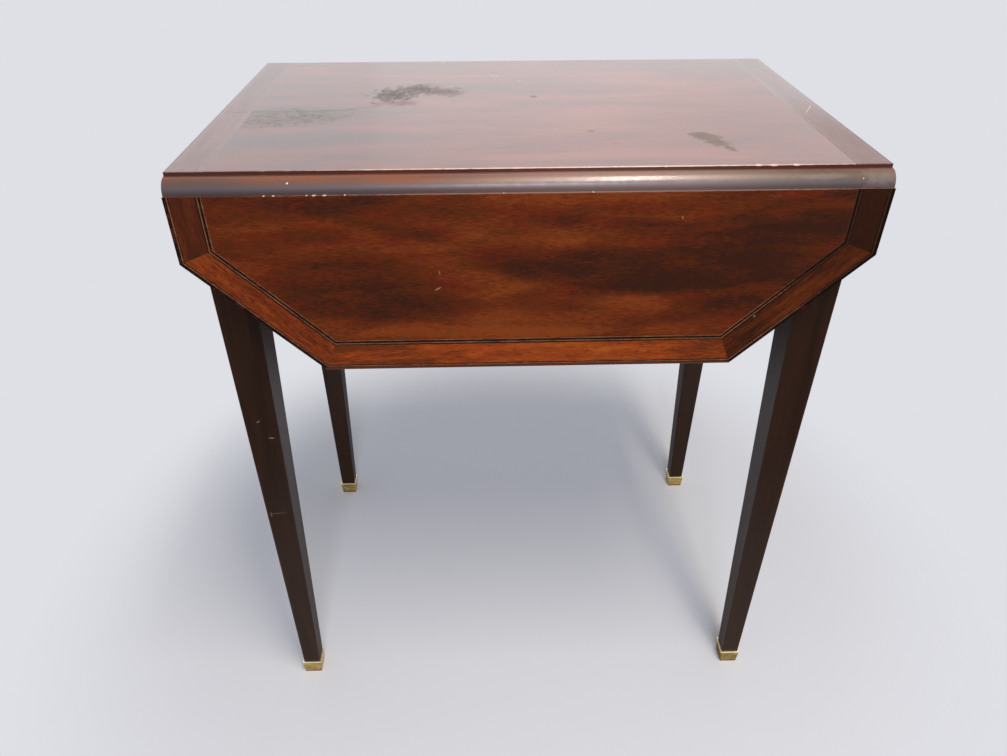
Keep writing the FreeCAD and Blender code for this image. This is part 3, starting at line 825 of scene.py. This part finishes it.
    def dress(self, nodes: Nodes) -> None:
        """Gives the top's pieces their finishes.

        Args:
            nodes: Pieces by name.
        """
        film = {"pore_depth": 0.3, "bump": 0.002, "level": 0.55, "spread": 0.012}
        tones = self.on_top((-255, -70, 110, 130, -0.21, 0), (30, 30, 150, 150, 0.12, 0), (160, 10, 80, 90, 0.1, 0),
                            soft=1.6, ragged=0.3, deep=EVERYWHERE)
        dim = self.on_top((300, -150, 70, 110, 1, 0), soft=1.6, ragged=0.3, deep=EVERYWHERE)
        corner = Marks("#6a3019", dim, cover=0.0, rough=0.3, coat=0.35)
        # Mahogany veneer under rubbed lacquer: the film fills the pores, so lamps show in it as soft bright shapes
        # over a warm, cloudy figure
        Wood("lacquered_mahogany_top", dark="#452217", mid="#69311c", light="#92492c", blush="#782d1c",
             figure=(200, 50), fibre=(50, 2.2), clouds=tones, marks=self.marks(), **film).dress(nodes, "top_board")
        # Crossbanding cut from the same wood and laid across: short streaks over its width, under the same film
        Wood("lacquered_crossband_top", run=Run.ACROSS, dark="#42211a", mid="#62321f", light="#7d4729",
             blush="#6a2f1f", figure=(60, 8), coat=0.93, marks=(corner, *self.cracks()),
             **film).dress(nodes, "top_crossbands")
        # Stringing dyed black and grown brown under old lacquer: a thin quiet line that still shows its fibre
        Wood("ebonised_stringing_top", dark="#3a221a", mid="#4b2d22", light="#5c3829", blush="#782d1c",
             figure=(25, 9), fibre=(18, 1.5), marks=(corner,), **film).dress(nodes, "top_dark_stringing")
        # Pale stringing toned by old lacquer: a tan line beside the dark one
        Wood("toned_pale_stringing_top", dark="#66402d", mid="#805742", light="#966e53", blush="#782d1c",
             figure=(14, 6), fibre=(10, 1.2), marks=(corner,), **film).dress(nodes, "top_light_stringing")


@dataclass
class Leaf:
    """Hinged leaf with its cut corners, bands and lines.

    Attributes:
        side: Long side at which it hangs.
        face: Distance of its face from the middle of the table, in millimetres.
        lip: Height of its upper edge while it hangs.
        half_length: Half of its length.
        hinge: Height of the hinge line.
        reach: Reach from the hinge line to the outer edge.
        corner_cut: Leg of each cut corner.
        band_inset: Distance of the bands' inner edge from the outer edge.
        line: Half width of the dark line in the joint beside the bands.
    """

    side: Side
    face: float = 210.9
    lip: float = 694.7
    half_length: float = 311.0
    hinge: float = 695.1
    reach: float = 177.1
    corner_cut: float = 114.3
    band_inset: float = 28.0
    line: float = 0.85

    def along(self, x: float) -> float:
        """Moves a place along the leaf so that the back one is no copy of the front one."""
        return x if self.side is Side.FRONT else -0.8 * x

    def spots(self, *rows: Row, **edge: float) -> tuple[Patch, ...]:
        """Makes patches through the leaf from rows of X, Z, half sizes along them, strength and turn."""
        return tuple(Patch((x, 0, z), (long, EVERYWHERE, tall), strength, (0, turn, 0), **edge)
                     for x, z, long, tall, strength, turn in rows)

    def clouds(self) -> tuple[Patch, ...]:
        """Lists the dark and bright places of the veneer's figure, and a wide painted shade at one upper end.

        Returns:
            Patches with signed strengths.
        """
        places = (
            (-112, 599, 72, 22, -0.26, 0), (66, 619, 105, 17, -0.26, 11.5), (18, 580, 40, 10, -0.12, 0),
            (0, 566, 110, 14, 0.22, 0), (-36, 609, 50, 12, 0.12, 0), (150, 603, 54, 16, -0.16, 14),
            # The wide dark place at (262, 640) is painted shade over the upper right end, not figure
            (262, 640, 80, 60, -0.26, 0), (-95, 688, 60, 12, -0.18, 0), (105, 588, 40, 12, 0.24, 0),
            (-92, 637, 46, 10, 0.18, -6), (22, 653, 70, 9, 0.2, 4), (-150, 562, 70, 8, 0.16, 0),
            (60, 690, 120, 8, 0.14, 0), (30, 557, 150, 6, 0.2, 0),
        )
        share = 1.0 if self.side is Side.FRONT else 0.6
        rows = (
            (self.along(x), z, long, tall, share * strength, self.along(turn))
            for x, z, long, tall, strength, turn in places
        )
        return self.spots(*rows, soft=1.7, ragged=0.35)

    def marks(self) -> tuple[Marks, ...]:
        """Lists the marks that use has left on the leaf, and a painted highlight along its lip.

        Returns:
            Marks in the order in which they were made.
        """
        y = self.side.value * (self.face - 1.2)
        # Painted highlight: a pale line along the lip, where it catches the lamps
        worn = (Patch((70, y, self.lip), (240, 3.0, 0.45), soft=0.9),)
        chips = tuple(Patch((self.along(x), y, self.lip), (long, 2.2, tall), soft=0.4) for x, long, tall in (
            (-226, 0.7, 0.3), (-218, 1.2, 0.3), (-190, 0.8, 0.3), (-184, 1.3, 0.35), (-175, 1.6, 0.3),
            (-158, 0.8, 0.3), (-24, 0.6, 0.25), (52, 0.6, 0.25),
        ))
        scratches = tuple(
            Patch((self.along(x), y, z), (long, 4.0, 0.55), strength, (0, turn, 0), ragged=0.5)
            for x, z, long, turn, strength in (
                (-84, 605, 3.2, -28, 1), (-82, 621, 2.2, 88, 0.5), (131, 671, 1.6, 75, 0.6),
            )
        )
        return (
            # Painted highlight along the lip
            Marks("#8f7262", worn, cover=0.6, coat=0.5),
            Marks("#a88f7c", scratches, cover=0.8, coat=0.5),
            Marks("#dccbb6", chips, cover=0.8),
        )

    def joint_line(self) -> tuple[Patch, ...]:
        """Lists the dark line drawn in the joint between the bands and the stringing.

        Returns:
            One thin patch for each straight stretch.
        """
        outer = self.hinge - self.reach
        mitre = self.band_inset * math.tan(math.pi / 8)
        side_x, side_z = self.half_length - self.band_inset, outer + self.corner_cut + mitre
        edge_x, edge_z = self.half_length - self.corner_cut - mitre, outer + self.band_inset
        mid_x, mid_z = (side_x + edge_x) / 2, (side_z + edge_z) / 2
        half = math.hypot(side_x - edge_x, side_z - edge_z) / 2
        stretches = [(0, edge_z, edge_x, self.line, 1, 0)]
        for sign in (-1, 1):
            stretches.append((sign * mid_x, mid_z, half, self.line, 1, -45 * sign))
            stretches.append((sign * side_x, self.lip, self.line, self.lip - side_z, 1, 0))
        return self.spots(*stretches, ragged=0.2)

    def dress(self, nodes: Nodes) -> None:
        """Gives the leaf's pieces their finishes.

        Args:
            nodes: Pieces by name.
        """
        own = self.side.name.lower() + "_leaf_"
        film = {"coat": 0.95, "rough": 0.28, "spread": 0.012}
        shade = self.spots((300, 660, 70, 90, -0.42, 0), soft=1.2, ragged=0.3)
        lit_edge = self.spots((0, 518, 230, 4.2, 0.5, 0), soft=0.4, ragged=0.0) + shade
        bright_ends = self.spots((-290, 632, 34, 30, 0.12, 0), (-212, 555, 40, 40, 0.06, 0), soft=1.4, ragged=0.3)
        dark_ends = self.spots((-170, 535, 90, 40, -0.23, 0), (196, 535, 60, 40, -0.18, 0), soft=1.5, ragged=0.3)
        dim_ends = self.spots((292, 634, 34, 34, -0.16, 0), (204, 546, 34, 34, -0.16, 0), soft=1.4, ragged=0.3)
        joint = (Marks("#220d07", self.joint_line(), cover=0.9, rough=0.4, coat=0.4),)
        nick = (Marks("#9a8068", self.spots((212, 571, 1, 1.2, 1, 0)), cover=0.5, coat=0.3),)
        # Mahogany veneer under rubbed lacquer, seen steeply: little of the lamps shows, so the deep red figure does
        Wood(own + "lacquered_mahogany", figure_detail=1.2, fibre=(7, 0.9), fibre_depth=0.75, pore_depth=0.36,
             clouds=self.clouds(), marks=self.marks(), **film).dress(nodes, own + "board")
        # Crossbands under the same film: each piece of veneer meets the light along another grain, so each is
        # painted
        # in the tone that light gives it: painted light on the edge and left corner bands, painted shade on the side
        # and right corner bands
        Wood(own + "lacquered_side_crossband", run=Run.UPRIGHT, dark="#34190c", mid="#582813", light="#6e3416",
             blush="#5c2513", figure=(60, 9), clouds=shade, marks=joint, **film).dress(nodes, own + "side_bands")
        Wood(own + "lacquered_left_corner_crossband", run=Run.FALLING, dark="#532512", mid="#7a3513",
             light="#99481b", blush="#862d12", figure=(50, 8), fibre=(9, 1.3), fibre_depth=1.25, pore_depth=0.75,
             clouds=bright_ends, marks=joint, **film).dress(nodes, own + "left_corner_band")
        Wood(own + "lacquered_edge_crossband", dark="#703213", mid="#a04a15", light="#b7601d", blush="#a63c18",
             figure=(46, 7), fibre=(9, 1.1), fibre_depth=0.8, pore_depth=0.5, clouds=dark_ends, marks=joint,
             **film).dress(nodes, own + "edge_band")
        Wood(own + "lacquered_right_corner_crossband", run=Run.RISING, dark="#3a1c0e", mid="#59280f",
             light="#713613", blush="#5f250f", figure=(50, 8), fibre=(9, 1.3), fibre_depth=0.9, pore_depth=0.6,
             clouds=dim_ends, marks=joint + nick, **film).dress(nodes, own + "right_corner_band")
        # Stringing dyed black: nearly without figure, so that it parts the bands from the field
        Wood(own + "ebonised_stringing", dark="#190a06", mid="#24100a", light="#5e3120", blush="#28100a",
             figure=(25, 9), fibre=(18, 1.5), pore_depth=0.2, clouds=lit_edge,
             **film).dress(nodes, own + "dark_stringing")
        # Pale stringing toned by old lacquer: a broken tan line
        Wood(own + "toned_pale_stringing", dark="#4a2d1d", mid="#86593d", light="#a8784e", blush="#7d513a",
             figure=(14, 6), fibre=(10, 1.2), pore_depth=0.3, clouds=shade,
             **film).dress(nodes, own + "light_stringing")


@dataclass
class Legs:
    """Four tapered legs in brass toe caps.

    Attributes:
        outer: Distance of the outer faces from the middle of the table along X and Y, in millimetres.
        tall: Height of a leg.
        rim: Height of the toe caps.
    """

    outer: Pair = (298.4, 188.3)
    tall: float = 692.0
    rim: float = 20.6

    def marks(self) -> tuple[Marks, ...]:
        """Lists the dull feet, rubbed corners and nicks of the legs.

        Returns:
            Marks in the order in which they were made.
        """
        x, y = self.outer
        middle = self.tall / 2
        feet = (Patch((0, 0, 0), (EVERYWHERE, EVERYWHERE, 320), soft=1.6, ragged=0.3),)
        corners = tuple(
            Patch((a * x, b * y, middle), (1.6, 1.6, middle), soft=0.8) for a in (-1, 1) for b in (-1, 1)
        )
        nicks = tuple(
            Patch((a, -y, z), (wide, 3, high), strength, (0, turn, 0)) for a, z, wide, high, turn, strength in (
                (-283.6, 437.5, 2.2, 0.6, -35, 1), (-273.5, 415.3, 3.2, 0.9, 0, 1),
                (-286, 303, 9, 0.6, -6, 0.5), (-293.6, 302, 0.7, 4, 0, 0.7),
            )
        )
        return (
            Marks("#27180c", feet, cover=0.5, rough=0.5, coat=0.08),
            Marks("#54301f", corners, cover=0.6, rough=0.4, coat=0.3),
            Marks("#8a7462", nicks, cover=0.8),
        )

    def cap_marks(self) -> tuple[Marks, ...]:
        """Lists the painted shade on the front right cap, the rubbed rims with a painted highlight on them, and the
        dirty feet of the toe caps.

        Returns:
            Marks in the order in which they were made.
        """
        # Painted shade on the inner side and, fainter, on the front of the front right cap
        brown = (
            Patch((276, -178, 9), (1.8, 14, 11), soft=0.5, ragged=0.3),
            Patch((288, -190, 7), (15, 2, 10), 0.45, soft=0.8, ragged=0.5),
        )
        # Painted highlight: the rubbed rims are drawn paler than the bright brass
        rim = (Patch((0, 0, self.rim), (EVERYWHERE, EVERYWHERE, 1.1), soft=0.5, ragged=0.1),)
        foot = (Patch((0, 0, 0), (EVERYWHERE, EVERYWHERE, 2.4), soft=1.2, ragged=0.5),)
        return (
            # Painted shade on the front right cap
            Marks("#5a4826", brown, cover=0.75, rough=0.55),
            # Rubbed rims with a painted highlight
            Marks("#f3e7c2", rim, cover=0.9, rough=0.45),
            Marks("#5e4a2a", foot, cover=0.7, rough=0.6),
        )

    def dress(self, nodes: Nodes) -> None:
        """Gives the legs and caps their finishes.

        Args:
            nodes: Pieces by name.
        """
        corners = [f"{a}_{b}" for a in ("front", "back") for b in ("left", "right")]
        # Solid mahogany stained dark and waxed: a satin face with a warm, blurred glow that thins out to the feet
        Wood("dark_stained_mahogany_leg", run=Run.UPRIGHT, dark="#20150f", mid="#2f1d14", light="#44291a",
             blush="#361f16", figure=(160, 14), fibre=(70, 1.4), pore_depth=0.3, marks=self.marks(), rough=0.4,
             level=0.12, tint="#ffe9d2", coat=0.55, coat_rough=0.38).dress(nodes, *(c + "_leg" for c in corners))
        # Cast brass, polished once and aged: soft gleams between dull clouds, with a bright rubbed rim under a
        # painted highlight, and painted shade on the front right cap
        Metal("aged_cast_brass", marks=self.cap_marks()).dress(nodes, *(c + "_toe_cap" for c in corners))


# Rails planed, stained dark and waxed: a plain satin brown
RAIL_WOOD = Wood("dark_stained_mahogany_rail", dark="#26160f", mid="#3a2117", light="#50301f", blush="#401f17",
                 figure=(140, 22), rough=0.42, level=0.35, coat=0.0)
# Inner timbers planed and left bare: pale and matt, with only the fibre to see
PLAIN_WOOD = Wood("planed_poplar", dark="#8a6a45", mid="#a9875b", light="#c4a374", blush="#a58058",
                  figure=(160, 18), fibre=(80, 1.6), pore_depth=0.12, rough=0.72, level=0.3, coat=0.0)


@dataclass
class Apron:
    """Rails under the top with the drawer's blades, runners, stops and cleats."""

    def dress(self, nodes: Nodes) -> None:
        """Gives the rails and inner timbers their finishes.

        Args:
            nodes: Pieces by name.
        """
        RAIL_WOOD.dress(nodes, "front_side_rail", "back_side_rail")
        # The same stained wood with its grain across the table
        across = replace(RAIL_WOOD, name="dark_stained_mahogany_end_rail", run=Run.ACROSS)
        across.dress(nodes, "left_end_rail", "drawer_lower_blade", "drawer_upper_blade")
        PLAIN_WOOD.dress(nodes, "front_drawer_runner", "back_drawer_runner", "front_top_cleat", "back_top_cleat",
                         "drawer_stops")


@dataclass
class Drawer:
    """Drawer in the right-hand end."""

    def dress(self, nodes: Nodes) -> None:
        """Gives the drawer's pieces their finishes.

        Args:
            nodes: Pieces by name.
        """
        # Solid mahogany under a thin coat of lacquer: between the shine of the top and the satin of the rails
        Wood("lacquered_mahogany_drawer_front", run=Run.ACROSS, dark="#33190f", mid="#4a2415", light="#613019",
             blush="#522013", coat=0.6).dress(nodes, "drawer_front")
        PLAIN_WOOD.dress(nodes, "drawer_front_side", "drawer_back_side", "drawer_bottom")
        # The same bare timber with its fibre along the back
        replace(PLAIN_WOOD, name="planed_poplar_back", run=Run.ACROSS).dress(nodes, "drawer_back")
        # Brass turned on a lathe and handled: brighter than the caps, with small clouds of tarnish
        Metal("turned_brass_knob", cloud=6.0).dress(nodes, "drawer_knob")


@dataclass
class Screws:
    """Countersunk screws with slotted heads that stand for a CAD node of plain ones, in millimetres.

    Attributes:
        node: CAD node that they stand for.
        body: Body that they ride.
        places: Middle of each head's face and the way that the screw is driven.
        head_radius: Radius of a head.
        head_height: Height of a head's cone.
        shank_radius: Radius of a shank.
        length: Length over all.
        slot: Width and depth of a slot.
    """

    node: str
    body: str
    places: Sequence[Place]
    head_radius: float = 3.2
    head_height: float = 1.7
    shank_radius: float = 1.5
    length: float = 12.0
    slot: Pair = (1.0, 0.8)

    def screw(self, shape: bmesh.types.BMesh) -> None:
        """Makes one screw at the origin, driven along Z.

        Args:
            shape: Empty mesh that gets the screw.
        """
        wide, deep = self.slot
        waist = self.head_radius - (self.head_radius - self.shank_radius) * deep / self.head_height
        bottom = Matrix.Translation((0.0, 0.0, deep))
        bmesh.ops.create_circle(shape, cap_ends=True, segments=SCREW_SIDES, radius=waist, matrix=bottom)
        for edge in (-wide / 2, wide / 2):
            whole = shape.verts[:] + shape.edges[:] + shape.faces[:]
            bmesh.ops.bisect_plane(shape, geom=whole, plane_co=(edge, 0.0, 0.0), plane_no=(1.0, 0.0, 0.0))
        cheeks = [face for face in shape.faces if abs(face.calc_center_median().x) > wide / 2]
        raised = points(bmesh.ops.extrude_face_region(shape, geom=cheeks)["geom"])
        bmesh.ops.delete(shape, geom=cheeks, context="FACES_ONLY")
        flare = self.head_radius / waist
        bmesh.ops.scale(shape, vec=(flare, flare, 1.0), verts=raised)
        bmesh.ops.translate(shape, vec=(0.0, 0.0, -deep), verts=raised)

        rim = [edge for edge in shape.edges if edge.is_boundary]
        radius, depth = waist, deep
        for next_radius, next_depth in (
            (self.shank_radius, self.head_height),
            (self.shank_radius, self.length - self.shank_radius),
            (self.shank_radius / 2, self.length),
        ):
            step = bmesh.ops.extrude_edge_only(shape, edges=rim)["geom"]
            share = next_radius / radius
            bmesh.ops.scale(shape, vec=(share, share, 1.0), verts=points(step))
            bmesh.ops.translate(shape, vec=(0.0, 0.0, next_depth - depth), verts=points(step))
            rim = [edge for edge in step if isinstance(edge, bmesh.types.BMEdge) and edge.is_boundary]
            radius, depth = next_radius, next_depth
        bmesh.ops.holes_fill(shape, edges=rim, sides=0)

    def build(self, steel: bpy.types.Material) -> None:
        """Drives the screws, each with its slot at another angle.

        Args:
            steel: Material of the screws.
        """
        shape = bmesh.new()
        self.screw(shape)
        pattern = shape.verts[:] + shape.edges[:] + shape.faces[:]
        for i, (head, inward) in enumerate(self.places):
            drive = Vector(inward).to_track_quat("Z", "Y").to_matrix().to_4x4()
            turn = Matrix.Rotation(i * SLOT_STEP, 4, "Z")
            seat = Matrix.Scale(MM, 4) @ Matrix.Translation(head) @ drive @ turn
            copy = bmesh.ops.duplicate(shape, geom=pattern)["geom"]
            bmesh.ops.transform(shape, matrix=seat, verts=points(copy))
        bmesh.ops.delete(shape, geom=points(pattern), context="VERTS")
        bmesh.ops.recalc_face_normals(shape, faces=shape.faces)
        mesh = bpy.data.meshes.new(self.node + "_slotted")
        shape.to_mesh(mesh)
        shape.free()
        mesh.materials.append(steel)
        piece = bpy.data.objects.new(mesh.name, mesh)
        bpy.context.scene.collection.objects.link(piece)
        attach(piece, self.body)
        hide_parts(self.node)
        LOG.info("%s: %d screws", piece.name, len(self.places))


@dataclass
class Fittings:
    """Table hinges, folding stays and screws, in millimetres and for the front leaf as it hangs.

    Attributes:
        hinge_x: Distance of the hinges from the middle of the table.
        hinge_line: Distance from the middle and height of the hinge line.
        top_plate: Shift along the hinge and reach from its line of each screw in a short plate.
        leaf_plate: The same for a long plate.
        stay_x: Distance of the stays from the middle of the table.
        bracket_shift: Shift of a bracket's screws from its stay.
        bracket_screws: Distance of a bracket's screws from its pivot.
        rail_bracket: Distance from the middle and height of the rail brackets' pivots.
        leaf_bracket: The same for the leaf brackets.
        underside: Height of the underside of the top.
        leaf_back: Distance of the leaf's inner face from the middle.
        top_screws: Distances of the top's screws from the middle along and across the table, and their height.
    """

    hinge_x: float = 190.0
    hinge_line: Pair = (195.0, 695.1)
    top_plate: tuple[Pair, ...] = ((-10.5, 25.0), (10.5, 25.0), (0.0, 17.5))
    leaf_plate: tuple[Pair, ...] = ((-10.5, 39.0), (10.5, 39.0), (0.0, 29.35))
    stay_x: float = 115.0
    bracket_shift: float = 13.2
    bracket_screws: float = 7.5
    rail_bracket: Pair = (178.3, 625.1)
    leaf_bracket: Pair = (189.9, 595.1)
    underside: float = 692.0
    leaf_back: float = 191.9
    top_screws: Triple = (200.0, 147.8, 674.0)

    def screws(self) -> tuple[Screws, ...]:
        """Lists the screws of both leaves and of the frame.

        Returns:
            One group for each CAD node of screws.
        """
        up, forward, back = (0.0, 0.0, 1.0), (0.0, -1.0, 0.0), (0.0, 1.0, 0.0)
        line_y, line_z = self.hinge_line
        hinge: list[Place] = []
        leaf: list[Place] = []
        for end in (-1, 1):
            x = end * self.hinge_x
            hinge += [((x + shift, reach - line_y, self.underside), up) for shift, reach in self.top_plate]
            leaf += [((x + shift, -self.leaf_back, line_z - reach), forward) for shift, reach in self.leaf_plate]
        rail: list[Place] = []
        for end in (-1, 1):
            for drop in (-self.bracket_screws, self.bracket_screws):
                y, z = self.leaf_bracket
                leaf.append(((end * self.stay_x + self.bracket_shift, -y, z + drop), forward))
                y, z = self.rail_bracket
                rail.append(((end * self.stay_x - self.bracket_shift, -y, z + drop), back))
        x, y, z = self.top_screws
        top = [((place * x, -y, z), up) for place in (-1, 0, 1)]
        return (
            Screws("hinge_top_screws", "frame", hinge + half_turn(hinge)),
            Screws("stay_rail_screws", "frame", rail + half_turn(rail)),
            Screws("front_leaf_screws", "front_leaf", leaf),
            Screws("back_leaf_screws", "back_leaf", half_turn(leaf)),
            Screws("top_screws", "frame", top + half_turn(top), head_radius=4.2, head_height=2.6, shank_radius=2.2,
                   length=30.0, slot=(1.2, 1.2)),
        )

    def dress(self, nodes: Nodes) -> None:
        """Gives the steel pieces their finish and drives the screws.

        Args:
            nodes: Pieces by name.
        """
        kinds = ("hinge_leaf_plates", "stay_leaf_brackets", "stay_rail_arms", "stay_leaf_arms")
        moving = [f"{side.name.lower()}_{kind}" for side in Side for kind in kinds]
        # Mild steel rolled flat, bent and dulled by age: grey, with blurred gleams along its edges
        steel = Metal("rolled_mild_steel", bright="#a49e95", tarnish="#6c655c", cloud=14.0, rough=0.42, dull=0.58)
        steel.dress(nodes, "hinge_top_plates", "hinge_pins", "stay_rail_brackets", *moving)
        # Steel wire headed, slotted and left bright: small pale discs, each with a dark line across it
        bright = Metal("turned_steel_screw", bright="#e2ded6", tarnish="#b8b2a8", cloud=5.0, rough=0.34, dull=0.46)
        material = bright.material()
        for group in self.screws():
            group.build(material)


def main() -> None:
    """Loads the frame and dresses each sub-assembly in order."""
    logging.basicConfig(level=logging.INFO, format="%(message)s")
    for leftover in list(bpy.data.objects):
        bpy.data.objects.remove(leftover)
    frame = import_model()
    Studio().build()
    for assembly in (TableTop(), Leaf(Side.FRONT), Leaf(Side.BACK), Legs(), Apron(), Drawer(), Fittings()):
        assembly.dress(frame["nodes"])


if __name__ == "__main__":
    main()
